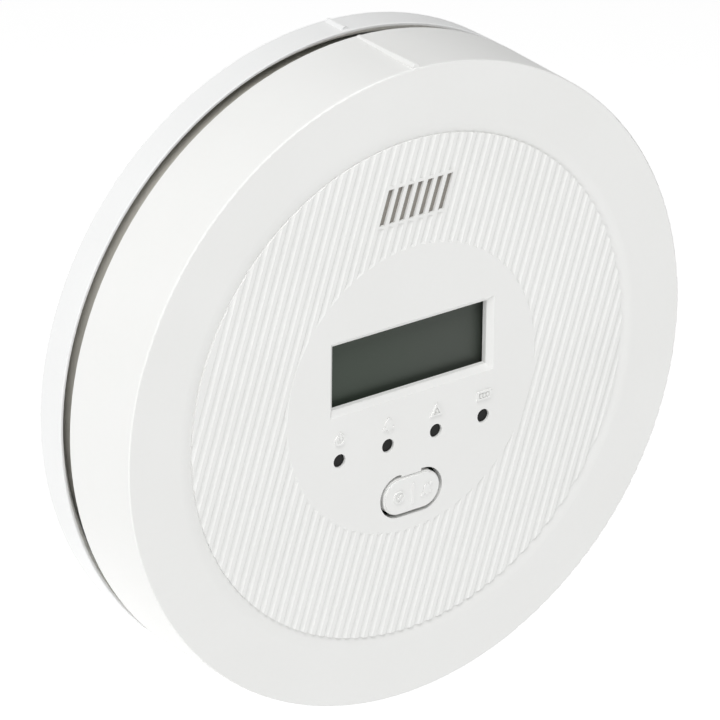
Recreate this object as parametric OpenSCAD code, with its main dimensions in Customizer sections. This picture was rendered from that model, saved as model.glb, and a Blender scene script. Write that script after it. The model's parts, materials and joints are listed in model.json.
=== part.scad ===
// Round wall-mounted carbon monoxide alarm.
// A detector head twists onto a shallow mounting plate. Every piece is drawn lying on its back, with
// its depth counted as height above the wall, and is then stood up so that the face looks toward -Y
// and +Z is up. The origin is the middle of the plate's wall face.

/* [Casing] */
// Radius of the front face, in mm
face_r = 60; // [58:0.5:64]
// Total depth from the wall to the front face
total_depth = 26; // [26:0.5:30]
// Wall thickness of the casing
wall = 2; // [1.8:0.1:2.4]
// Rounding of the front edge
edge_r = 0.3; // [0.2:0.1:1.2]
// Depth of the plate's rim
plate_rim = 6.2; // [6:0.1:7]
// Open groove between the rim of the plate and the head
shadow_gap = 2.9; // [2:0.1:3.5]

/* [Ribbed zone] */
// Distance between neighbouring grooves
rib_pitch = 2.01; // [1.9:0.01:2.4]
// Lean of the grooves to the right, in degrees
rib_lean = 17.6; // [0:0.1:30]
// Width of a groove at the surface
rib_width = 1.2; // [0.8:0.05:1.4]
// Depth of a groove
rib_depth = 0.28; // [0.2:0.02:0.4]
// Inner radius of the ribbed zone
rib_in_r = 27; // [26:0.5:30]
// Outer radius of the ribbed zone
rib_out_r = 46.9; // [42:0.1:47]

/* [Display and controls] */
// Width of the display window at the face
window_w = 35.6; // [30:0.2:38]
// Height of the display window at the face
window_h = 14.2; // [12:0.2:16]
// Diameter of an indicator window
led_d = 2.6; // [2:0.1:3]
// Distance between indicator windows
led_pitch = 10.5; // [9:0.5:11]
// Length of the test button
button_l = 12.3; // [10:0.1:13]
// Height of the test button
button_h = 7; // [6:0.1:8]
// Gap around the test button
button_gap = 0.65; // [0.5:0.05:0.9]

/* [Mounting] */
// Distance between the two wall screws
screw_spacing = 60; // [50:1:66]
// Width of a wall screw slot
screw_slot_w = 4.5; // [4:0.5:5]
// Length of a wall screw slot
screw_slot_l = 9; // [7:0.5:12]
// Turn that releases the head from the plate, in degrees
twist = 15; // [10:1:18]

/* [Hidden] */
fine = 96;
small = 40;
cut = 1;

// casing, as heights above the wall
side_draft = 0.5;
body_r = face_r + side_draft;
plate_r = body_r;
face_in = total_depth - wall;
body_rear = plate_rim + shadow_gap;
plate_t = 2;
mark_w = 1.5;
mark_h = 0.55;

// shoulder of the outer ring, which rolls down to the edge of the ribbed disc
shoulder_w = 2.4;
shoulder_r = 7;

// round grooves, each cut by a cylinder that lies mostly above the face
groove_r = (rib_width * rib_width / 4 + rib_depth * rib_depth) / (2 * rib_depth);
groove_lift = groove_r - rib_depth;
groove_phase = -0.51;
groove_count = floor(rib_out_r / rib_pitch);
groove_run_in = 0.5;

// sound slots, which take the place of seven grooves
slot_first = -8;
slot_last = -2;
slot_v = 35.7;
slot_rise = 6.35;
slot_w = 1.2;
slot_bridge = 0.5;
slot_web = 0.5;
slot_middle = (slot_first + slot_last) / 2;
pocket_w = 15.3;
pocket_h = slot_rise + 0.9;

// display
window_v = 6.05;
bevel = 1;
lcd_w = 40;
lcd_h = 18.4;
lcd_t = 2.2;
lcd_front = total_depth - 3.1;
lcd_wall = 2;

// indicator windows
led_v = -9.6;
icon_v = -5.5;
icon_h = 0.25;
stroke = 0.34;

// button: a flap on a moulded hinge at its top edge
button_v = -20.2;
button_t = 1.7;
button_proud = 0.25;
flap_tab_w = 4.3;
flap_slit = 0.15;
switch_v = -21.5;
switch_size = 6;

// circuit board
board_t = 1.6;
board_front = 19;
board_back = board_front - board_t;
board_r = 53;
board_low = -28.5;
board_posts = [[-42, -18], [42, -18], [-40, 20]];
post_r = 3.2;

// sounder chamber behind the slots
sound_x = 0.3;
sound_v = 36;
sound_r = 16;

// rear housing
floor_h = 5;
floor_t = 1.5;
neck_r = 57.8;
neck_t = 1.6;
neck_rear = 2.8;
neck_front = 12;
screw_ring = 50;
screw_shank_r = 1.3;
pilot_r = 1.34;

// bayonet
hook_r = 41;
hook_t = 1.8;
hook_span = 8;
hook_lip = 2.4;
hook_play = 0.3;
hook_angles = [90, 210, 330];

// battery bay, for one 17 mm by 34.5 mm lithium cell
cell_r = 8.5;
cell_l = 33.4;
cell_v = -40;
bay_half_w = 20.6;
bay_half_h = 8.9;
bay_t = 1.5;
bay_rear = 3.2;
bay_front = 23.6;
cell_h = bay_front - bay_t - 0.1 - cell_r;
cell_x = 2.1;
door_t = 1.4;
spring_wire = 0.35;

// carbon monoxide sensor
sensor = [33, 20];
sensor_r = 8.5;

// the drawing frame, stood up against the wall
module stand() {
    rotate([90, 0, 0])
        children();
}

module disc(r, low, high, sides = fine) {
    translate([0, 0, low])
        cylinder(r = r, h = high - low, $fn = sides);
}

module ring(r_out, r_in, low, high, sides = fine) {
    difference() {
        disc(r_out, low, high, sides);
        disc(r_in, low - cut, high + cut, sides);
    }
}

module block(w, d, low, high) {
    translate([-w / 2, -d / 2, low])
        cube([w, d, high - low]);
}

// upright bar with round ends, along Y
module round_bar(w, l, low, high) {
    block(w, l - w, low, high);
    for (s = [-1, 1])
        translate([0, s * (l - w) / 2, 0])
            disc(w / 2, low, high, small);
}

module stadium(l, h, low, high) {
    rotate([0, 0, 90])
        round_bar(h, l, low, high);
}

// sector of a ring, from angle a to angle b
module arc_block(r_in, r_out, a, b, low, high) {
    steps = 8;
    far = r_out * 1.2;
    intersection() {
        ring(r_out, r_in, low, high);
        translate([0, 0, low - cut])
            linear_extrude(high - low + 2 * cut)
                polygon(concat([[0, 0]],
                    [for (i = [0 : steps]) let (t = a + (b - a) * i / steps) far * [cos(t), sin(t)]]));
    }
}

// raised mark on the side that shows how the head and the plate line up
module side_mark(r, low, high) {
    translate([0, 0, low])
        linear_extrude(high - low)
            polygon([[-mark_w / 2, r - 0.4], [mark_w / 2, r - 0.4], [mark_w / 2, r], [mark_w * 0.16, r + mark_h],
                [-mark_w * 0.16, r + mark_h], [-mark_w / 2, r]]);
}

// ---------------------------------------------------------------- mounting plate

module plate_profile() {
    lip = 0.25;
    polygon([[0, 0], [plate_r, 0], [plate_r, plate_rim - lip], [plate_r - lip, plate_rim - lip],
        [plate_r - lip, plate_rim], [plate_r - 2 * lip, plate_rim], [plate_r - wall, plate_rim - 2.2],
        [plate_r - wall, plate_t], [0, plate_t]]);
    translate([plate_r - lip, plate_rim - lip])
        circle(r = lip, $fn = small);
}

// shallow relief in the wall face, between its ribs and the pads round the screw slots
module wall_relief() {
    difference() {
        ring(54, 12, -cut, 0.5);
        ring(35, 33, -2 * cut, cut);
        for (a = [0 : 30 : 150])
            rotate([0, 0, a])
                block(2, 120, -2 * cut, cut);
        for (s = [-1, 1])
            translate([s * screw_spacing / 2, 0, 0])
                stadium(screw_slot_l + 5, screw_slot_w + 5, -2 * cut, cut);
    }
}

// hook whose outward lip grips the floor of the rear housing
module hook(angle) {
    lip_low = floor_h + floor_t + hook_play;
    a = angle - hook_span / 2;
    b = angle + hook_span / 2;
    arc_block(hook_r - hook_t / 2, hook_r + hook_t / 2, a, b, plate_t - 0.2, lip_low + hook_t);
    arc_block(hook_r - hook_t / 2, hook_r + hook_t / 2 + hook_lip, a, b, lip_low, lip_low + hook_t);
}

module mounting_plate() {
    color("whitesmoke")
        stand() {
            difference() {
                union() {
                    rotate_extrude($fn = fine)
                        plate_profile();
                    for (s = [-1, 1])
                        translate([s * screw_spacing / 2, 0, 0])
                            stadium(screw_slot_l + 5, screw_slot_w + 5, 0, plate_t + 0.6);
                }
                for (s = [-1, 1])
                    translate([s * screw_spacing / 2, 0, 0])
                        stadium(screw_slot_l, screw_slot_w, -cut, plate_t + cut);
                wall_relief();
            }
            for (a = hook_angles)
                hook(a);
            side_mark(plate_r, 0.6, plate_rim - 0.7);
        }
}

// ---------------------------------------------------------------- front cover

module cover_profile() {
    polygon([[0, face_in], [0, total_depth], [face_r - edge_r, total_depth],
        [face_r - edge_r, total_depth - edge_r], [face_r, total_depth - edge_r], [body_r, body_rear],
        [body_r - wall, body_rear], [face_r - wall, face_in]]);
    translate([face_r - edge_r, total_depth - edge_r])
        circle(r = edge_r, $fn = small);
}

// cylinder from place t0 to place t1 along the lean, for one groove
module groove(u, t0, t1) {
    translate([u, t0, total_depth + groove_lift])
        rotate([-90, 0, 0])
            cylinder(r = groove_r, h = t1 - t0, $fn = small);
}

// zone the grooves are cut in, with an inner side that brings them up gently to the smooth middle
module groove_zone() {
    rotate_extrude($fn = fine)
        polygon([[rib_in_r, total_depth + cut], [rib_in_r, total_depth],
            [rib_in_r + groove_run_in, total_depth - rib_depth - 0.05],
            [rib_out_r + 0.2, total_depth - rib_depth - 0.05], [rib_out_r + 0.2, total_depth + cut]]);
}

// place along the lean where it meets a given height on the face
function along(u, v) = (v + u * sin(rib_lean)) / cos(rib_lean);

module grooves() {
    intersection() {
        groove_zone();
        rotate([0, 0, -rib_lean])
            for (i = [-groove_count : groove_count]) {
                u = groove_phase + rib_pitch * i;
                end = rib_out_r + 1;
                if (i >= slot_first && i <= slot_last) {
                    groove(u, -end, along(u, slot_v - slot_rise / 2) - slot_bridge);
                    groove(u, along(u, slot_v + slot_rise / 2) + slot_bridge, end);
                }
                else if (abs(u) + rib_width / 2 < rib_out_r - 0.3)
                    groove(u, -end, end);
            }
    }
}

// the outer ring's shoulder, cut down to a sharp step at the ribbed disc
module shoulder_cutter() {
    rotate_extrude($fn = fine)
        difference() {
            translate([rib_out_r, total_depth - shoulder_r / 4])
                square([shoulder_w, shoulder_r / 4 + cut]);
            translate([rib_out_r + shoulder_w, total_depth - shoulder_r])
                circle(r = shoulder_r, $fn = fine);
        }
}

// where a sound slot's middle lies across the face
function slot_x(i) = (groove_phase + rib_pitch * i + slot_v * sin(rib_lean)) / cos(rib_lean);

// block that leans with the grooves and has level ends, at the place of one sound slot
module leaning_block(i, w, h, low, high) {
    shift = h / 2 * tan(rib_lean);
    translate([slot_x(i), slot_v, low])
        linear_extrude(high - low)
            polygon([[-w / 2 - shift, -h / 2], [w / 2 - shift, -h / 2], [w / 2 + shift, h / 2],
                [-w / 2 + shift, h / 2]]);
}

// the slots, and a pocket that thins the cover behind them
module sound_slots() {
    for (i = [slot_first : slot_last])
        leaning_block(i, slot_w / cos(rib_lean), slot_rise, face_in - cut, total_depth + cut);
    leaning_block(slot_middle, pocket_w, pocket_h, face_in - cut, total_depth - slot_web);
}

// a straight opening that flares by the bevel at the face
module window_cutter() {
    x0 = window_w / 2 - bevel;
    y0 = window_h / 2 - bevel;
    low = face_in - cut;
    knee = total_depth - bevel;
    intersection() {
        rotate([90, 0, 0])
            linear_extrude(window_h * 2, center = true)
                polygon([[-x0, low], [x0, low], [x0, knee], [x0 + 2 * bevel, knee + 2 * bevel],
                    [-x0 - 2 * bevel, knee + 2 * bevel], [-x0, knee]]);
        rotate([90, 0, 90])
            linear_extrude(window_w * 2, center = true)
                polygon([[-y0, low], [y0, low], [y0, knee], [y0 + 2 * bevel, knee + 2 * bevel],
                    [-y0 - 2 * bevel, knee + 2 * bevel], [-y0, knee]]);
    }
}

module relief(h = icon_h) {
    translate([0, 0, total_depth - 0.1])
        linear_extrude(h + 0.1)
            children();
}

module bar(x, y, w, h, turn = 0) {
    translate([x, y])
        rotate(turn)
            square([w, h], center = true);
}

module circle_line(r, w = stroke) {
    difference() {
        circle(r = r, $fn = small);
        circle(r = r - w, $fn = small);
    }
}

module power_icon() {
    difference() {
        circle_line(1.1);
        bar(0, 0.9, 1, 0.9);
    }
    bar(0, 0.75, stroke, 1.2);
}

module bell_icon() {
    translate([0, 0.3])
        circle(r = 0.72, $fn = small);
    polygon([[-0.72, 0.35], [0.72, 0.35], [0.86, -0.62], [-0.86, -0.62]]);
    bar(0, -0.72, 2.3, 0.3);
    translate([0, -1.02])
        circle(r = 0.26, $fn = small);
    translate([0, 1.08])
        circle(r = 0.2, $fn = small);
}

module fault_icon() {
    difference() {
        polygon([[-1.35, -1.1], [1.35, -1.1], [0, 1.25]]);
        polygon([[-0.82, -0.8], [0.82, -0.8], [0, 0.6]]);
    }
    bar(0, -0.18, 0.26, 0.62);
    bar(0, -0.66, 0.26, 0.2);
}

module battery_icon() {
    difference() {
        bar(0, 0, 3, 1.7);
        bar(0, 0, 3 - 2 * stroke, 1.7 - 2 * stroke);
    }
    bar(1.65, 0, 0.36, 0.8);
    for (i = [-1 : 1])
        bar(i * 0.72, 0, 0.38, 0.7);
}

module icons() {
    for (i = [0 : 3])
        translate([(i - 1.5) * led_pitch, icon_v, 0])
            relief() {
                if (i == 0) power_icon();
                if (i == 1) bell_icon();
                if (i == 2) fault_icon();
                if (i == 3) battery_icon();
            }
}

// C-shaped slit that frees the flap, with a short tab of the cover left at its top
module flap_cutter() {
    outer_h = button_h + 2 * button_gap;
    difference() {
        translate([0, button_v, 0])
            stadium(button_l + 2 * button_gap, outer_h, face_in - cut, total_depth + cut);
        translate([0, button_v + outer_h / 2 - (button_gap - flap_slit) / 2, 0])
            block(flap_tab_w, button_gap - flap_slit, face_in - 2 * cut, total_depth + 2 * cut);
    }
}

module cover_bosses() {
    for (a = [45 : 90 : 315])
        rotate([0, 0, a])
            translate([screw_ring, 0, 0])
                ring(3.4, pilot_r, 11, face_in + 0.2, small);
    for (p = board_posts)
        translate([p[0], p[1], 0])
            ring(post_r, pilot_r, board_front, face_in + 0.2, small);
    translate([sound_x, sound_v, 0])
        ring(sound_r + 1.8, sound_r + 0.6, 20, face_in + 0.2);
}

module front_cover() {
    color("whitesmoke")
        stand() {
            difference() {
                union() {
                    rotate_extrude($fn = fine)
                        cover_profile();
                    side_mark(face_r + side_draft * 0.4, body_rear + 0.3, total_depth - edge_r);
                    icons();
                }
                shoulder_cutter();
                grooves();
                sound_slots();
                translate([0, window_v, 0])
                    window_cutter();
                for (i = [0 : 3])
                    translate([(i - 1.5) * led_pitch, led_v, 0])
                        disc(led_d / 2, face_in - cut, total_depth + cut, small);
                flap_cutter();
            }
            cover_bosses();
        }
}

// ---------------------------------------------------------------- rear housing

module rear_housing() {
    color("white")
        stand() {
            difference() {
                union() {
                    disc(neck_r, floor_h, floor_h + floor_t);
                    ring(neck_r, neck_r - neck_t, neck_rear, neck_front);
                    ring(body_r - wall - 0.2, neck_r - 0.5, body_rear + 0.3, body_rear + 1.8);
                    translate([0, cell_v, 0])
                        block(2 * (bay_half_w + bay_t), 2 * (bay_half_h + bay_t), bay_rear, bay_front);
                    for (a = [45 : 90 : 315])
                        rotate([0, 0, a])
                            translate([screw_ring, 0, 0])
                                disc(3.6, floor_h, 10.8, small);
                }
                translate([0, cell_v, 0])
                    block(2 * bay_half_w, 2 * bay_half_h, bay_rear - cut, bay_front - bay_t);
                for (s = [-1, 1])
                    translate([s * (bay_half_w - 1.85), cell_v + bay_half_h + bay_t / 2, 0])
                        block(4, 3, board_back - 1.7, board_back + 0.2);
                for (a = [45 : 90 : 315])
                    rotate([0, 0, a])
                        translate([screw_ring, 0, 0]) {
                            disc(screw_shank_r + 0.3, floor_h - cut, 12, small);
                            disc(3, floor_h - cut, 7.6, small);
                        }
                for (a = hook_angles) {
                    half = hook_span / 2 + 1;
                    near = hook_r - hook_t / 2 - 0.5;
                    arc_block(near, hook_r + hook_t / 2 + 0.5, a - twist, a + half, floor_h - cut,
                        floor_h + floor_t + cut);
                    arc_block(near, hook_r + hook_t / 2 + hook_lip + 0.5, a - twist - half, a - twist + half,
                        floor_h - cut, floor_h + floor_t + cut);
                }
                for (i = [-3 : 3])
                    translate([sensor[0] + i * 2.4, sensor[1], 0])
                        round_bar(1.2, 12 - abs(i), floor_h - cut, floor_h + floor_t + cut);
            }
        }
}

module battery_door() {
    finger = 5;
    color("white")
        stand()
            difference() {
                translate([0, cell_v, 0]) {
                    block(2 * bay_half_w - 0.4, 2 * bay_half_h - 0.4, bay_rear, bay_rear + door_t);
                    for (s = [-1, 1])
                        translate([s * 8, bay_half_h - 1.6, 0])
                            block(4, 1.2, bay_rear + 0.5, bay_rear + door_t + 1.6);
                }
                for (i = [-2 : 2])
                    translate([0, cell_v - bay_half_h + 3 + i * 0.9, 0])
                        block(finger * 2, 0.45, bay_rear - cut, bay_rear + 0.4);
            }
}

// ---------------------------------------------------------------- test button

module check_icon() {
    circle_line(1.2, 0.3);
    bar(-0.26, -0.14, 0.72, 0.26, -45);
    bar(0.22, 0.06, 1.15, 0.26, 52);
}

module mute_icon() {
    scale(0.92)
        bell_icon();
    bar(0, 0, 3.3, 0.32, 45);
}

module test_button() {
    top = total_depth + button_proud;
    crown = 0.3;
    color("whitesmoke")
        stand() {
            translate([0, button_v, 0]) {
                stadium(button_l, button_h, top - button_t, top - crown);
                stadium(button_l - 2 * crown, button_h - 2 * crown, top - crown, top);
            }
            translate([0, switch_v, 0])
                disc(1, 23.05, top - button_t + 0.2, small);
            translate([-2.9, button_v, button_proud])
                relief(0.18)
                    check_icon();
            translate([0.2, button_v, button_proud])
                relief(0.18)
                    bar(0, 0, 0.4, 4);
            translate([3.2, button_v, button_proud])
                relief(0.18)
                    mute_icon();
        }
}

module tact_switch_base() {
    color("dimgray")
        stand()
            translate([0, switch_v, 0])
                difference() {
                    block(switch_size, switch_size, board_front, 22.2);
                    disc(1.8, 20.2, 22.2 + cut, small);
                }
}

module tact_switch_plunger() {
    color("black")
        stand()
            translate([0, switch_v, 0])
                disc(1.72, 21, 22.9, small);
}

// ---------------------------------------------------------------- display

module lcd_glass() {
    color("darkslategray")
        stand()
            translate([0, window_v, 0])
                block(lcd_w, lcd_h, lcd_front - lcd_t, lcd_front);
}

module lcd_frame() {
    color("black")
        stand()
            translate([0, window_v, 0])
                difference() {
                    block(lcd_w + 2 * lcd_wall, lcd_h + 2 * lcd_wall, board_front, face_in - 0.1);
                    block(lcd_w + 0.2, lcd_h + 0.2, board_front - cut, lcd_front + 0.05);
                    block(window_w + 0.4, window_h + 0.4, board_front, face_in + cut);
                }
}

module lcd_backlight() {
    color("white")
        stand()
            translate([0, window_v, 0])
                block(lcd_w - 2, lcd_h - 6, board_front, lcd_front - lcd_t);
}

module lcd_contact_strips() {
    color("gray")
        stand()
            for (s = [-1, 1])
                translate([0, window_v + s * (lcd_h / 2 - 1.4), 0])
                    block(lcd_w - 4, 2, board_front, lcd_front - lcd_t);
}

// ---------------------------------------------------------------- indicators

module led_light_guide() {
    color("dimgray")
        stand() {
            translate([0, led_v, 0])
                block(led_pitch * 3 + 5, 3.6, 22, 23.2);
            for (i = [0 : 3])
                translate([(i - 1.5) * led_pitch, led_v, 0])
                    disc(led_d / 2 - 0.08, 21.4, total_depth - 0.45, small);
        }
}

module led(i, tint) {
    color(tint)
        stand()
            translate([(i - 1.5) * led_pitch, led_v, 0]) {
                block(3.5, 2.8, board_front, board_front + 1.5);
                disc(1.1, board_front + 1.5, board_front + 1.9, small);
            }
}

module led_power() {
    led(0, "honeydew");
}

module led_alarm() {
    led(1, "mistyrose");
}

module led_fault() {
    led(2, "lightyellow");
}

module led_battery() {
    led(3, "lightyellow");
}

// ---------------------------------------------------------------- circuit board

module main_board() {
    color("darkgreen")
        stand()
            difference() {
                disc(board_r, board_back, board_front);
                translate([0, board_low - board_r, 0])
                    block(3 * board_r, 2 * board_r, board_back - cut, board_front + cut);
                translate([sound_x, sound_v, 0]) {
                    disc(sound_r + 3, board_back - cut, board_front + cut);
                    translate([0, board_r / 2, 0])
                        block(2 * (sound_r + 3), board_r, board_back - cut, board_front + cut);
                }
                for (a = [45, 135])
                    rotate([0, 0, a])
                        translate([screw_ring, 0, 0]) {
                            disc(4.4, board_back - cut, board_front + cut, small);
                            translate([4, 0, 0])
                                block(8, 8.8, board_back - cut, board_front + cut);
                        }
                for (p = board_posts)
                    translate([p[0], p[1], 0])
                        disc(1.6, board_back - cut, board_front + cut, small);
                for (i = [0 : 2])
                    translate([sensor[0], sensor[1], 0])
                        rotate([0, 0, 90 + 120 * i])
                            translate([5, 0, 0])
                                disc(0.6, board_back - cut, board_front + cut, small);
            }
}

// pan head screw pointing toward the face, its head starting at the given height
module screw(x, y, head_low, head_h, head_r, length) {
    recess = 0.8;
    translate([x, y, 0])
        difference() {
            union() {
                disc(head_r, head_low, head_low + head_h, small);
                disc(screw_shank_r, head_low + head_h, head_low + head_h + length, small);
            }
            for (t = [0, 90])
                rotate([0, 0, t])
                    block(head_r * 1.2, 0.6, head_low - cut, head_low + recess);
        }
}

module board_screws() {
    color("silver")
        stand()
            for (p = board_posts)
                screw(p[0], p[1], board_back - 1.5, 1.5, 2.5, 5);
}

module housing_screws() {
    reach = screw_ring * cos(45);
    color("silver")
        stand()
            for (x = [-1, 1], y = [-1, 1])
                screw(x * reach, y * reach, 5.6, 2, 2.8, 11);
}

// ---------------------------------------------------------------- sounder

module dust_felt() {
    fit = 0.1;
    color("dimgray")
        stand()
            leaning_block(slot_middle, pocket_w - fit, pocket_h - fit, face_in, total_depth - slot_web - 0.05);
}

module insect_mesh() {
    thread = 0.35;
    gap = 1.8;
    half = 5;
    color("gray")
        stand()
            translate([sound_x, sound_v, 0]) {
                ring(11, 9.6, face_in - 0.5, face_in - 0.1);
                intersection() {
                    disc(10, face_in - 0.5, face_in - 0.1);
                    for (i = [-half : half]) {
                        translate([i * gap, 0, 0])
                            block(thread, 20, face_in - 0.5, face_in - 0.3);
                        translate([0, i * gap, 0])
                            block(20, thread, face_in - 0.4, face_in - 0.2);
                    }
                }
            }
}

module sounder_gasket() {
    color("black")
        stand()
            translate([sound_x, sound_v, 0])
                ring(sound_r, 12, face_in - 0.9, face_in - 0.1);
}

module sounder_housing() {
    color("black")
        stand()
            translate([sound_x, sound_v, 0])
                difference() {
                    disc(sound_r, 16.4, face_in - 0.9);
                    disc(12.4, 17.2, face_in);
                    disc(13.9, 18.2, 18.52);
                    disc(4, 16, 18, small);
                }
}

module sounder_disc() {
    color("gold")
        stand()
            translate([sound_x, sound_v, 0])
                disc(13.8, 18.2, 18.5);
}

module sounder_ceramic() {
    color("ivory")
        stand()
            translate([sound_x, sound_v, 0])
                disc(9, 17.9, 18.2);
}

// ---------------------------------------------------------------- carbon monoxide sensor

module at_sensor() {
    translate([sensor[0], sensor[1], 0])
        children();
}

module co_sensor_can() {
    color("silver")
        stand()
            at_sensor() {
                disc(sensor_r, 9.6, board_back - 0.4);
                ring(sensor_r + 0.5, sensor_r - 0.5, 10.4, 11.2);
            }
}

module co_sensor_cap() {
    color("dimgray")
        stand()
            at_sensor()
                difference() {
                    disc(sensor_r - 0.6, 7.8, 9.6);
                    disc(3.6, 7, 8.6, small);
                    for (i = [0 : 5])
                        rotate([0, 0, i * 60])
                            translate([2.2, 0, 0])
                                disc(0.45, 7, 10, small);
                }
}

module co_sensor_filter() {
    color("white")
        stand()
            at_sensor()
                disc(3.5, 7.8, 8.5, small);
}

module co_sensor_pins() {
    color("goldenrod")
        stand()
            at_sensor()
                for (i = [0 : 2])
                    rotate([0, 0, 90 + 120 * i])
                        translate([5, 0, 0])
                            disc(0.5, board_back - 0.4, board_front + 1, small);
}

// ---------------------------------------------------------------- battery

// the cell lies along X in its bay
module at_cell() {
    translate([cell_x, cell_v, cell_h])
        rotate([0, 90, 0])
            children();
}

module battery_cell() {
    color("steelblue")
        stand()
            at_cell()
                rotate_extrude($fn = fine)
                    polygon([[0, -cell_l / 2], [cell_r - 0.7, -cell_l / 2], [cell_r - 0.7, -cell_l / 2 - 0.2],
                        [cell_r - 0.2, -cell_l / 2 - 0.2], [cell_r, -cell_l / 2 + 0.2], [cell_r, cell_l / 2 - 0.6],
                        [cell_r - 0.5, cell_l / 2], [4.2, cell_l / 2], [4.2, cell_l / 2 - 0.5], [0, cell_l / 2 - 0.5]]);
}

module battery_cap() {
    color("silver")
        stand()
            at_cell() {
                translate([0, 0, cell_l / 2 - 0.5])
                    cylinder(r = 4, h = 0.5, $fn = small);
                translate([0, 0, cell_l / 2])
                    cylinder(r = 3, h = 1.2, $fn = small);
            }
}

// contact plate on one end wall, with a tab and a solder tail that reach the back of the board
module contact_plate(side) {
    sheet = 0.5;
    x_plate = side * (bay_half_w - 0.3);
    v_wall = cell_v + bay_half_h;
    color("silver")
        stand() {
            translate([x_plate, cell_v, 0])
                block(sheet, 13, cell_h - 6.5, cell_h + 6.5);
            translate([x_plate, v_wall - 0.4, 0])
                block(sheet, 5, board_back - 1.5, board_back);
            translate([side * (bay_half_w - 1.9), v_wall + 2.7, 0])
                block(3.7, 5.8, board_back - sheet, board_back);
        }
}

module battery_positive_plate() {
    contact_plate(1);
}

module battery_negative_plate() {
    contact_plate(-1);
}

// conical spring swept along a rising spiral
spring_turns = 3;
spring_rings = 60;
spring_sides = 8;
spring_low = -bay_half_w + 0.55 + spring_wire;
spring_high = cell_x - cell_l / 2 - 0.25 - spring_wire;

function spring_angle(i) = 360 * spring_turns * i / spring_rings;
function spring_r(i) = 6 - 2.8 * i / spring_rings;
function spring_at(i) = [spring_low + (spring_high - spring_low) * i / spring_rings,
    spring_r(i) * cos(spring_angle(i)), spring_r(i) * sin(spring_angle(i))];
function spring_side(i) = [0, cos(spring_angle(i)), sin(spring_angle(i))];

module battery_spring() {
    points = [for (i = [0 : spring_rings], k = [0 : spring_sides - 1])
        let (t = 360 * k / spring_sides)
            spring_at(i) + spring_wire * (cos(t) * spring_side(i) + sin(t) * [1, 0, 0])];
    sides = [for (i = [0 : spring_rings - 1], k = [0 : spring_sides - 1])
        let (a = i * spring_sides + k, b = i * spring_sides + (k + 1) % spring_sides)
            [a, b, b + spring_sides, a + spring_sides]];
    ends = [[for (k = [spring_sides - 1 : -1 : 0]) k],
        [for (k = [0 : spring_sides - 1]) spring_rings * spring_sides + k]];
    color("silver")
        stand()
            translate([0, cell_v, cell_h])
                polyhedron(points, concat(sides, ends), convexity = 6);
}

// ---------------------------------------------------------------- board components

module microcontroller() {
    color("black")
        stand()
            translate([-14, 8, 0]) {
                block(10, 10, board_back - 1.6, board_back - 0.15);
                for (t = [0 : 90 : 270], i = [-3 : 3])
                    rotate([0, 0, t])
                        translate([i * 1.2, 5.6, 0])
                            block(0.5, 1.4, board_back - 0.9, board_back);
            }
}

module memory_chip() {
    color("black")
        stand()
            translate([4, 10, 0]) {
                block(5, 4, board_back - 1.6, board_back - 0.15);
                for (s = [-1, 1], i = [-1.5 : 1.5])
                    translate([i * 1.27, s * 2.5, 0])
                        block(0.42, 1.2, board_back - 0.8, board_back);
            }
}

module at_coil() {
    translate([-34, -4, 0])
        children();
}

module boost_coil_core() {
    color("dimgray")
        stand()
            at_coil() {
                disc(4.5, board_back - 1.4, board_back - 0.2, small);
                disc(2.2, board_back - 7.2, board_back - 1.4, small);
                disc(4.5, board_back - 8.4, board_back - 7.2, small);
            }
}

module boost_coil_winding() {
    color("chocolate")
        stand()
            at_coil()
                ring(4, 2.25, board_back - 7.15, board_back - 1.45, small);
}

module capacitors() {
    color("steelblue")
        stand()
            for (x = [18, 27, 36])
                translate([x, -8, 0]) {
                    disc(3.15, board_back - 7.5, board_back - 0.3, small);
                    for (s = [-1, 1])
                        translate([s * 1.2, 0, 0])
                            disc(0.25, board_back - 0.3, board_back, small);
                }
}

module crystal() {
    color("silver")
        stand()
            translate([-14, -6, 0])
                stadium(10, 4, board_back - 3.6, board_back - 0.1);
}

mounting_plate();
front_cover();
rear_housing();
battery_door();
test_button();
lcd_glass();
lcd_frame();
lcd_backlight();
lcd_contact_strips();
led_light_guide();
led_power();
led_alarm();
led_fault();
led_battery();
tact_switch_base();
tact_switch_plunger();
main_board();
board_screws();
housing_screws();
dust_felt();
insect_mesh();
sounder_gasket();
sounder_housing();
sounder_disc();
sounder_ceramic();
co_sensor_can();
co_sensor_cap();
co_sensor_filter();
co_sensor_pins();
battery_cell();
battery_cap();
battery_spring();
battery_negative_plate();
battery_positive_plate();
microcontroller();
memory_chip();
boost_coil_core();
boost_coil_winding();
capacitors();
crystal();
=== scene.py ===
# %% [markdown]
# A round carbon monoxide alarm
#
# This lesson dresses a finished CAD assembly: a wall plate, a twist-on head with a ribbed face,
# a display, four indicator windows and a test button, with the electronics inside. The CAD model
# arrives as a fixed frame, in metres, with +Z up and the face looking along -Y. Nothing in it is
# moved here; what is added is a camera, light and the finish of every piece.

# %% Load the frame
import bpy
import json
import math
from mathutils import Matrix, Vector


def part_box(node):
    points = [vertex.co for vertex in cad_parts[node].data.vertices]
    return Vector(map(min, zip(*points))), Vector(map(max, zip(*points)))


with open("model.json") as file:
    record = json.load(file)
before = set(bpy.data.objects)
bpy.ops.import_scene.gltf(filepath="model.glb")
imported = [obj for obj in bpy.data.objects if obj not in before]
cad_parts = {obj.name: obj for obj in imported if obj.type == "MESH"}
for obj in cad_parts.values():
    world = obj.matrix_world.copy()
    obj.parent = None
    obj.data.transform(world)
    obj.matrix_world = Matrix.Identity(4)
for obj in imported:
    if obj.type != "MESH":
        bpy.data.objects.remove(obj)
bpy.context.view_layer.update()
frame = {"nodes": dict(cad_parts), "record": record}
nodes = frame["nodes"]
MM = 0.001

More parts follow.
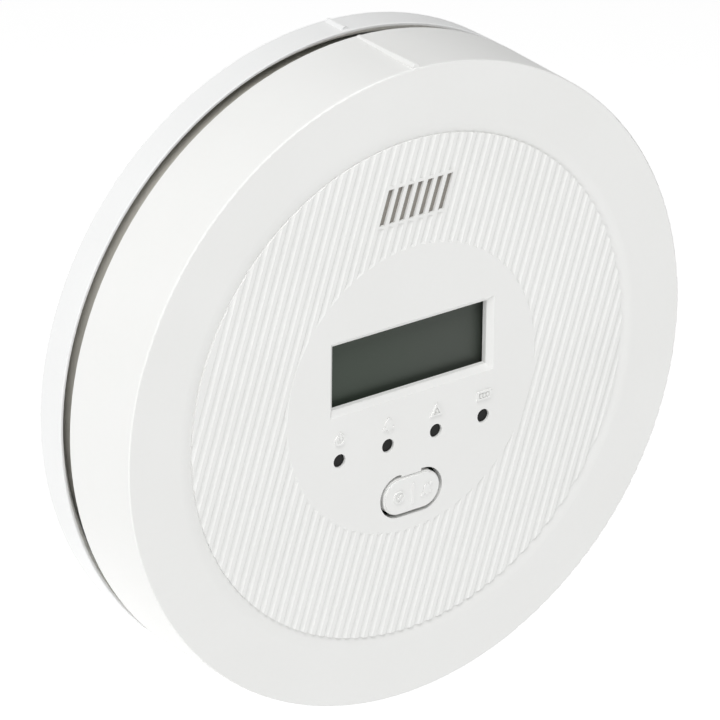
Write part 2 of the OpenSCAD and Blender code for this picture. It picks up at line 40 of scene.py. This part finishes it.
# %% [markdown]
# ## Camera
#
# The alarm is seen from its left and a little above, through a long lens, so that its round
# outlines are nearly true ellipses. The camera could be aimed with a tracking constraint, but a
# turned and slightly tilted view is easier to state as numbers: where the camera stands round the
# face, how far away, how much it rolls, and how far right of and below the middle of the picture
# the face's centre falls.

# %% Directions of the view
FACE_Y = -0.026
AZIMUTH = math.radians(37.568)
ELEVATION = math.radians(25.118)
ROLL = math.radians(-0.8155)
DISTANCE = 0.97165
LENS = 279.02
SENSOR = 36.0
IMAGE = 720
CENTRE_RIGHT = 52.717
CENTRE_DOWN = 28.525

face_centre = Vector((0, FACE_Y, 0))
forward = Vector((math.sin(AZIMUTH) * math.cos(ELEVATION), math.cos(AZIMUTH) * math.cos(ELEVATION),
                  -math.sin(ELEVATION)))
right = Vector((math.cos(AZIMUTH), -math.sin(AZIMUTH), 0))
above = right.cross(forward)
axes = Matrix((right, above, forward))

focal = LENS / SENSOR * IMAGE
aim = Vector((CENTRE_RIGHT / focal, -CENTRE_DOWN / focal, 1)).normalized()
swing = Vector((0, 0, 1)).rotation_difference(aim).to_matrix()
roll = Matrix(((math.cos(ROLL), -math.sin(ROLL), 0), (math.sin(ROLL), math.cos(ROLL), 0), (0, 0, 1)))
axes = swing @ roll @ axes
print("looking along", [round(x, 3) for x in axes[2]])

# %% Make the camera
camera_data = bpy.data.cameras.new("long_lens")
camera_data.lens = LENS
camera_data.sensor_width = SENSOR
camera_data.clip_start = 0.05
camera_data.clip_end = 20.0
camera = bpy.data.objects.new("long_lens", camera_data)
camera.rotation_mode = "QUATERNION"
camera.rotation_quaternion = Matrix((axes[0], axes[1], -axes[2])).transposed().to_quaternion()
camera.location = face_centre - forward * DISTANCE
bpy.context.scene.collection.objects.link(camera)
bpy.context.scene.camera = camera
print("camera at", [round(x, 4) for x in camera.location])

# %% [markdown]
# ## Floor and light
#
# The alarm hangs as on a wall, over a wide pale floor far enough below that no hard shadow falls
# on anything. The sky gives an even, weak light. One large soft panel above and in front models
# the face, and a second, level with the alarm on its left, brightens the side wall there but
# grazes the face, so the grooves and raised signs stand out and the right of the rim stays grey.

# %% Pale floor
FLOOR_DROP = 0.30
FLOOR_HALF = 6.0


def make_mesh(name, points, faces):
    mesh = bpy.data.meshes.new(name)
    mesh.from_pydata(points, [], faces)
    made = bpy.data.objects.new(name, mesh)
    bpy.context.scene.collection.objects.link(made)
    return made


corners = [(-1, -1), (1, -1), (1, 1), (-1, 1)]
floor = make_mesh("floor", [(x * FLOOR_HALF, y * FLOOR_HALF, -FLOOR_DROP) for x, y in corners],
                  [(0, 1, 2, 3)])
print("floor", FLOOR_DROP, "m below the middle of the alarm")

# %% Even sky
SKY = 0.22
scene = bpy.context.scene
scene.view_settings.view_transform = "Standard"
world = bpy.data.worlds.new("soft_sky")
world.use_nodes = True
world.node_tree.nodes["Background"].inputs["Color"].default_value = (1.0, 1.0, 1.0, 1)
world.node_tree.nodes["Background"].inputs["Strength"].default_value = SKY
scene.world = world
print("a sky of strength", SKY)

# %% Two soft panels
PANEL_AWAY = 1.6
PANEL_SIZE = 1.0


def soft_panel(name, direction, power):
    """A square light that faces the alarm from a direction."""
    data = bpy.data.lights.new(name, "AREA")
    data.shape = "SQUARE"
    data.size = PANEL_SIZE
    data.energy = power
    lamp = bpy.data.objects.new(name, data)
    way = Vector(direction).normalized()
    lamp.location = way * PANEL_AWAY
    lamp.rotation_mode = "QUATERNION"
    lamp.rotation_quaternion = way.to_track_quat("Z", "Y")
    scene.collection.objects.link(lamp)
    print(name, "gives", power, "W")


soft_panel("key_panel", (-0.18, -0.43, 0.95), 18.9)
soft_panel("side_panel", (-0.92, -0.02, 0.40), 8.1)

# %% [markdown]
# ## Shader maths
#
# A finish is a small network of nodes. Wiring each one by hand is slow to read, so a wrapped
# socket lets a finish be written as a sum: `grain * 0.2 + 0.4` adds its Math nodes by itself.
# Colours and vectors don't go through Math nodes, which would turn them grey, but through a
# mix of two colours. Every other node comes from one method.

# %% A socket that can be used in a sum


class Field:
    """One output socket of a finish's network."""

    def __init__(self, finish, socket):
        self.finish = finish
        self.socket = socket

    def maths(self, operation, a, b):
        return self.finish.node("ShaderNodeMath", {"operation": operation}, {0: a, 1: b})

    def __add__(self, other):
        return self.maths("ADD", self, other)

    def __radd__(self, other):
        return self.maths("ADD", other, self)

    def __sub__(self, other):
        return self.maths("SUBTRACT", self, other)

    def __rsub__(self, other):
        return self.maths("SUBTRACT", other, self)

    def __mul__(self, other):
        return self.maths("MULTIPLY", self, other)

    def __rmul__(self, other):
        return self.maths("MULTIPLY", other, self)

    def __abs__(self):
        return self.maths("ABSOLUTE", self, 0)

    def most(self, other):
        return self.maths("MAXIMUM", self, other)


# %% A material under construction


class Finish:
    """A material and the nodes that are added to it."""

    def __init__(self, name):
        self.material = bpy.data.materials.new(name)
        self.material.use_nodes = True
        self.tree = self.material.node_tree
        self.tree.nodes.clear()

    def node(self, kind, settings=None, sockets=None, out=0):
        """A node of one kind: its settings first, then the values or links of its sockets."""
        made = self.tree.nodes.new(kind)
        for setting, value in (settings or {}).items():
            setattr(made, setting, value)
        for socket, value in (sockets or {}).items():
            if isinstance(value, Field):
                self.tree.links.new(value.socket, made.inputs[socket])
            else:
                made.inputs[socket].default_value = value
        return Field(self, made.outputs[out])

    def place(self):
        return self.node("ShaderNodeTexCoord", out="Object")

    def along(self, axis):
        """How far along X, Y or Z a point of the surface lies, in millimetres."""
        return self.node("ShaderNodeSeparateXYZ", {}, {0: self.place()}, out=axis) * (1 / MM)

    def noise(self, size, detail=2.0, rough=0.5):
        """Cloudy noise from 0 to 1, with blobs of about this size in millimetres."""
        sockets = {"Vector": self.place(), "Scale": 1 / (size * MM), "Detail": detail, "Roughness": rough}
        return self.node("ShaderNodeTexNoise", {}, sockets)

    def cells(self, size):
        """Distance to the middle of the nearest cell, cells of about this size in millimetres."""
        return self.node("ShaderNodeTexVoronoi", {}, {"Vector": self.place(), "Scale": 1 / (size * MM)})

    def step(self, value, low, high):
        """0 below low, 1 above high, and a smooth rise between them."""
        return self.node("ShaderNodeMapRange", {"interpolation_type": "SMOOTHSTEP"},
                         {"Value": value, "From Min": low, "From Max": high})

    def wave(self, value, pitch):
        """A smooth wave from 0 to 1 that repeats at each pitch of value."""
        turned = self.node("ShaderNodeMath", {"operation": "SINE"}, {0: value * (2 * math.pi / pitch)})
        return turned * 0.5 + 0.5

    def tint(self, mask, low, high):
        """One colour where mask is 0, the other where it is 1."""
        colours = [c if isinstance(c, Field) else (*c, 1) for c in (low, high)]
        sockets = {0: mask, 6: colours[0], 7: colours[1]}
        return self.node("ShaderNodeMix", {"data_type": "RGBA"}, sockets, out=2)

    def relief(self, height, depth):
        """A normal for a height from 0 to 1 that is this deep, in millimetres."""
        return self.node("ShaderNodeBump", {}, {"Height": height, "Distance": depth * MM, "Strength": 1.0})

    def close(self, colour, roughness, normal=None, metallic=0.0, **constant):
        """Ends the network. What is constant over the surface is set on the shader's own sockets."""
        sockets = {"Base Color": colour, "Roughness": roughness, "Metallic": metallic}
        if normal is not None:
            sockets["Normal"] = normal
        for word, value in constant.items():
            sockets[word.replace("_", " ")] = value
        shader = self.node("ShaderNodeBsdfPrincipled", {}, sockets)
        output = self.tree.nodes.new("ShaderNodeOutputMaterial")
        self.tree.links.new(shader.socket, output.inputs["Surface"])
        return self.material


finishes = {}
print("shader helpers ready")

# %% [markdown]
# ## Moulded plastics
#
# The plate, cover, housing, door and button are injection moulded. The mould is spark eroded, so
# the skin has a fine satin grain, here two sizes of noise that move only the normal and the
# roughness. A large, very weak cloud keeps the colour from being perfectly even, and dust and
# handling leave slightly duller patches.

# %% Satin moulded plastic
GRAIN_DEPTH = 0.0045


def moulded(name, pale, deep, shine, grain):
    """Satin plastic with a grain of about this size in millimetres."""
    finish = Finish(name)
    cloud = finish.noise(26, 3)
    speckle = finish.noise(0.9, 2)
    skin = finish.noise(grain, 3, 0.6)
    colour = finish.tint(finish.step(cloud * 0.8 + speckle * 0.2, 0.3, 0.7), deep, pale)
    roughness = cloud * 0.10 + skin * 0.10 + (shine - 0.10)
    normal = finish.relief(skin * 0.75 + speckle * 0.25, GRAIN_DEPTH)
    return finish.close(colour, roughness, normal, IOR=1.46)


WHITE = (0.843, 0.845, 0.832)
WARM_WHITE = (0.825, 0.827, 0.812)
COOL_WHITE = (0.855, 0.860, 0.858)
COOL_WHITE_DEEP = (0.835, 0.84, 0.836)
# The housing shows only in the open groove behind the head. Its warm grey is painted shade and painted warm
# bounce light: darker and warmer than the white plastic, so that the groove looks deep in shade.
GROOVE_SHADE_GREY = (0.56, 0.545, 0.50)
GROOVE_SHADE_GREY_DEEP = (0.52, 0.505, 0.46)
BLACK = (0.030, 0.030, 0.032)
DEEP_BLACK = (0.020, 0.020, 0.021)
for name, pale, deep, shine, grain in (
        ("cover_plastic", WHITE, WARM_WHITE, 0.50, 0.35),
        ("button_plastic", WHITE, WARM_WHITE, 0.46, 0.35),
        ("plate_plastic", COOL_WHITE, COOL_WHITE_DEEP, 0.52, 0.35),
        ("housing_plastic", GROOVE_SHADE_GREY, GROOVE_SHADE_GREY_DEEP, 0.55, 0.5),
        ("black_plastic", BLACK, DEEP_BLACK, 0.45, 0.3)):
    finishes[name] = moulded(name, pale, deep, shine, grain)
print("moulded plastics:", ", ".join(finishes))

# %% [markdown]
# ## Display and indicators
#
# A blank liquid crystal display looks dark grey-green, because its polarising film passes little
# light and the mirror behind it is dull. The film is smooth but not perfect, so the gloss is
# broken by a weak orange-peel. The indicator windows are the ends of a smoked light guide.

# %% Display film


def display_film():
    """Dark film under fine dust, painted a little paler toward its right end to lift the shade there."""
    finish = Finish("lcd_glass")
    peel = finish.noise(3.5, 2)
    dust = finish.step(finish.noise(0.25, 2), 0.62, 0.80)
    # painted light: the film is made paler toward its right end, where shade darkens it
    painted_fill = finish.step(finish.along(0) + finish.noise(9, 1) * 3, -18, 20)
    film = finish.tint(painted_fill, (0.051, 0.066, 0.051), (0.064, 0.074, 0.063))
    colour = finish.tint(dust * 0.10, film, (0.16, 0.17, 0.16))
    return finish.close(colour, peel * 0.08 + dust * 0.10 + 0.30, finish.relief(peel, 0.002), IOR=1.30)


finishes["lcd_glass"] = display_film()
print("display film finished")

# %% Milky, smoked and striped parts round the display


def milky(name, pale, deep, shine):
    finish = Finish(name)
    cloud = finish.noise(4, 3)
    swirl = finish.noise(1.2, 2)
    return finish.close(finish.tint(cloud, deep, pale), swirl * 0.1 + shine, finish.relief(swirl, 0.004),
                        IOR=1.5, Subsurface_Weight=0.15, Subsurface_Scale=0.001)


def smoked():
    finish = Finish("smoked_plastic")
    flow = finish.noise(2.5, 2)
    return finish.close(finish.tint(flow, (0.008, 0.008, 0.008), (0.016, 0.016, 0.015)), flow * 0.1 + 0.45,
                        finish.relief(flow, 0.003), IOR=1.30)


def zebra_strip():
    finish = Finish("contact_rubber")
    stripe = finish.step(finish.wave(finish.along(0), 0.36), 0.35, 0.65)
    skin = finish.noise(0.4, 2)
    return finish.close(finish.tint(stripe, (0.55, 0.55, 0.56), (0.05, 0.05, 0.05)), skin * 0.2 + 0.55,
                        finish.relief(stripe, 0.004))


finishes["diffuser_plastic"] = milky("diffuser_plastic", (0.86, 0.88, 0.86), (0.80, 0.82, 0.80), 0.35)
finishes["led_resin"] = milky("led_resin", (0.86, 0.86, 0.74), (0.78, 0.77, 0.62), 0.22)
finishes["smoked_plastic"] = smoked()
finishes["contact_rubber"] = zebra_strip()
print("display and indicators:", len(finishes), "finishes so far")

# %% [markdown]
# ## Metals
#
# Every metal here is thin and bright, and each is told apart by how it was worked: rolled sheet
# has lines along one way, plated cans have a soft mottle, wire is drawn, and zinc on a screw is
# cloudy. One function takes the two tones, the shine and the kind of line.

# %% Worked metal


def metal(name, bright, dull, shine, stretch=(1, 1, 1), size=0.6, depth=0.003):
    """Bare metal whose lines run across the axis that stretch makes larger."""
    finish = Finish(name)
    sheet = finish.node("ShaderNodeVectorMath", {"operation": "MULTIPLY"}, {0: finish.place(), 1: stretch})
    lines = finish.node("ShaderNodeTexNoise", {},
                        {"Vector": sheet, "Scale": 1 / (size * MM), "Detail": 3.0, "Roughness": 0.6})
    tarnish = finish.step(finish.noise(7, 3), 0.45, 0.75)
    colour = finish.tint(tarnish * 0.6 + lines * 0.2, bright, dull)
    return finish.close(colour, lines * 0.12 + tarnish * 0.12 + shine, finish.relief(lines, depth), 1.0)


ZINC, ZINC_DULL = (0.66, 0.67, 0.66), (0.50, 0.52, 0.55)
WIRE, WIRE_DULL = (0.56, 0.56, 0.55), (0.38, 0.38, 0.38)
BRASS, BRASS_DULL = (0.80, 0.62, 0.30), (0.60, 0.43, 0.20)
NICKEL, NICKEL_DULL = (0.74, 0.73, 0.70), (0.60, 0.59, 0.56)
GOLD, GOLD_DULL = (0.86, 0.66, 0.30), (0.70, 0.52, 0.24)
COPPER, COPPER_DULL = (0.72, 0.34, 0.16), (0.45, 0.17, 0.08)
finishes["screw_steel"] = metal("screw_steel", ZINC, ZINC_DULL, 0.30, size=0.9)
finishes["mesh_steel"] = metal("mesh_steel", WIRE, WIRE_DULL, 0.35, size=0.2)
finishes["brass"] = metal("brass", BRASS, BRASS_DULL, 0.26, (1, 1, 12), 1.0)
finishes["plated_steel"] = metal("plated_steel", NICKEL, NICKEL_DULL, 0.20, size=0.8, depth=0.001)
finishes["gold_pin"] = metal("gold_pin", GOLD, GOLD_DULL, 0.22, (1, 8, 1), 0.4)
finishes["copper_wire"] = metal("copper_wire", COPPER, COPPER_DULL, 0.30, (1, 9, 1), 0.9, 0.05)
print("metals:", ", ".join(list(finishes)[-6:]))

# %% [markdown]
# ## Board and chips
#
# The circuit board is glass laminate under a green mask: copper shows through it as slightly
# paler tracks, and the weave of the glass ripples the skin. A brick pattern stands in for the
# tracks, which a drawn layout would show better but nobody would see. Chips are moulded epoxy
# with bright legs. Body and legs are one node, so the legs are found by how far a point lies
# from the middle of its chip.

# %% Board laminate


def board_laminate():
    finish = Finish("board_laminate")
    across, up = finish.along(0), finish.along(2)
    flat = finish.node("ShaderNodeCombineXYZ", {}, {0: across, 1: up})
    tracks = finish.node("ShaderNodeTexBrick", {"offset": 0.37, "squash": 1.6, "squash_frequency": 3},
                         {"Vector": flat, "Scale": 0.35, "Mortar Size": 0.035, "Brick Width": 1.7,
                          "Row Height": 0.6}, out="Fac")
    weave = finish.wave(across, 0.5) * finish.wave(up, 0.42)
    green = finish.tint(tracks, (0.012, 0.085, 0.035), (0.03, 0.17, 0.065))
    skin = finish.relief(weave * 0.3 + tracks * 0.7, 0.02)
    return finish.close(green, weave * 0.08 + 0.28, skin, IOR=1.5)


finishes["board_laminate"] = board_laminate()
print("board finished")

# %% Chip resin with bright legs


def chip(name, legs_of):
    """Epoxy out to half a body's width from each chip's middle, and bare legs beyond it."""
    finish = Finish(name)
    lead = None
    for piece, body_half in legs_of.items():
        low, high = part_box(piece)
        middle = (low + high) / 2 / MM
        spread = abs(finish.along(0) - middle.x).most(abs(finish.along(2) - middle.z))
        near = 1 - finish.step(spread, body_half * 2, body_half * 2 + 0.5)
        mine = finish.step(spread, body_half, body_half + 0.05) * near
        lead = mine if lead is None else lead.most(mine)
    sand = finish.noise(0.12, 2)
    body = finish.tint(sand, (0.022, 0.022, 0.024), (0.040, 0.040, 0.043))
    return finish.close(finish.tint(lead, body, (0.68, 0.68, 0.66)), (1 - lead) * 0.3 + sand * 0.1 + 0.25,
                        finish.relief(sand, 0.004), lead)


finishes["chip_resin"] = chip("chip_resin", {"microcontroller": 5.0, "memory_chip": 2.0})
print("chips finished:", len(finishes), "finishes so far")

# %% [markdown]
# ## Foam, ferrite, felt and ceramic
#
# Four dull materials differ mostly in how their surface is broken up: foam has pores, ferrite is
# pressed powder, felt is loose fibre over a weave, and the sounder's ceramic carries a thin
# printed silver. Each is one pattern that drives both the colour and the relief. In the foam,
# ferrite and felt the colour is painted darker where the relief dips and paler where it rises:
# painted shade and light at the scale of the pores and fibres. The ceramic's paler lines are its
# print. The grey felt sits close behind the sound slots, where it is seen in deep shade; its dark
# warm grey is painted shade and painted warm light bounced off the slot walls.

# %% Foam and ferrite


def foam():
    finish = Finish("foam_rubber")
    pores = finish.cells(0.5)
    # painted shade: the pores are coloured darker where the relief dips
    return finish.close(finish.tint(pores, (0.015, 0.015, 0.016), (0.05, 0.05, 0.05)), 0.95,
                        finish.relief(pores, 0.12))


def pressed_ferrite():
    finish = Finish("ferrite")
    powder = finish.noise(0.15, 3, 0.7)
    # painted shade and light: the powder is darker where the relief dips and paler where it rises
    return finish.close(finish.tint(powder, (0.05, 0.05, 0.052), (0.11, 0.108, 0.105)), powder * 0.2 + 0.6,
                        finish.relief(powder, 0.02))


finishes["foam_rubber"] = foam()
finishes["ferrite"] = pressed_ferrite()
print("foam and ferrite finished")

# %% Felt and ceramic


def felt(name, deep, pale):
    finish = Finish(name)
    fibre = finish.noise(0.22, 4, 0.75)
    weave = finish.wave(finish.along(0), 0.6) * finish.wave(finish.along(2), 0.6)
    # painted shade and light: the fibre is darker where the relief dips and paler where it rises
    return finish.close(finish.tint(fibre, deep, pale), 0.95,
                        finish.relief(fibre * 0.6 + weave * 0.4, 0.06), Sheen_Weight=0.2)


def silvered_ceramic():
    finish = Finish("piezo_ceramic")
    grain = finish.noise(0.5, 3)
    print_line = finish.wave(finish.along(0), 0.5)
    return finish.close(finish.tint(grain * 0.7 + print_line * 0.3, (0.62, 0.60, 0.54), (0.80, 0.78, 0.72)),
                        grain * 0.2 + 0.35, finish.relief(print_line, 0.003), 0.35)


finishes["filter_cloth"] = felt("filter_cloth", (0.70, 0.70, 0.67), (0.88, 0.88, 0.86))
# The grey felt's dark warm grey is painted shade and painted warm bounce light, so it looks like the deep,
# warm shade inside the sound slots.
finishes["grey_felt"] = felt("grey_felt", (0.235, 0.222, 0.20), (0.35, 0.33, 0.298))
finishes["piezo_ceramic"] = silvered_ceramic()
print("felt and ceramic finished")

# %% [markdown]
# ## Sleeves
#
# The cell and the capacitors wear shrunk film with a printed stripe near one end and no
# lettering. The stripe and the bare metal beyond it are placed from each piece's own box, so
# they follow the piece if it is made longer.

# %% Shrunk sleeves
BARE_METAL = (0.72, 0.72, 0.70)


def sleeve(name, film, stripe, low, high):
    """Film along X, a stripe between low and high in millimetres, and bare metal beyond high."""
    finish = Finish(name)
    place = finish.along(0)
    ripple = finish.noise(2.2, 2)
    band = finish.step(place, low, low + 0.1)
    end = finish.step(place, high, high + 0.1)
    colour = finish.tint(end, finish.tint(band, film, stripe), BARE_METAL)
    return finish.close(colour, ripple * 0.12 + 0.18, finish.relief(ripple, 0.01), end, IOR=1.5)


cell_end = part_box("battery_cell")[1].x / MM
cap_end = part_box("capacitors")[1].x / MM
finishes["battery_sleeve"] = sleeve("battery_sleeve", (0.05, 0.13, 0.32), (0.60, 0.62, 0.64),
                                    cell_end - 9, cell_end - 0.5)
finishes["capacitor_sleeve"] = sleeve("capacitor_sleeve", (0.02, 0.035, 0.10), (0.45, 0.48, 0.52),
                                      cap_end - 1.4, cap_end + 1)

# %% [markdown]
# ## Dress the pieces
#
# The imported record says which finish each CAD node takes, so the pieces are dressed in one loop.
# Only the material changes: every piece keeps its shape and place.

# %% Give every node its finish
slot_of = {part["node"]: part["material_slot"] for part in frame["record"]["subparts"]}
for name, node in nodes.items():
    node.data.materials.clear()
    node.data.materials.append(finishes[slot_of[name]])
print("dressed", len(slot_of), "pieces")

# %% [markdown]
# ## Finish the floor
#
# The floor is matte and pale. It also glows a little, so that it stays white where the panels
# don't reach, and so that the lower walls of the alarm are filled with light from below.

# %% Matte glowing floor
GLOW = 0.54


def floor_finish():
    finish = Finish("pale_floor")
    cloud = finish.noise(400, 2)
    return finish.close(finish.tint(cloud, (0.90, 0.90, 0.90), (0.93, 0.93, 0.93)), 0.8,
                        Emission_Color=(1, 1, 1, 1), Emission_Strength=GLOW)


floor.data.materials.append(floor_finish())
print("floor glows by", GLOW)
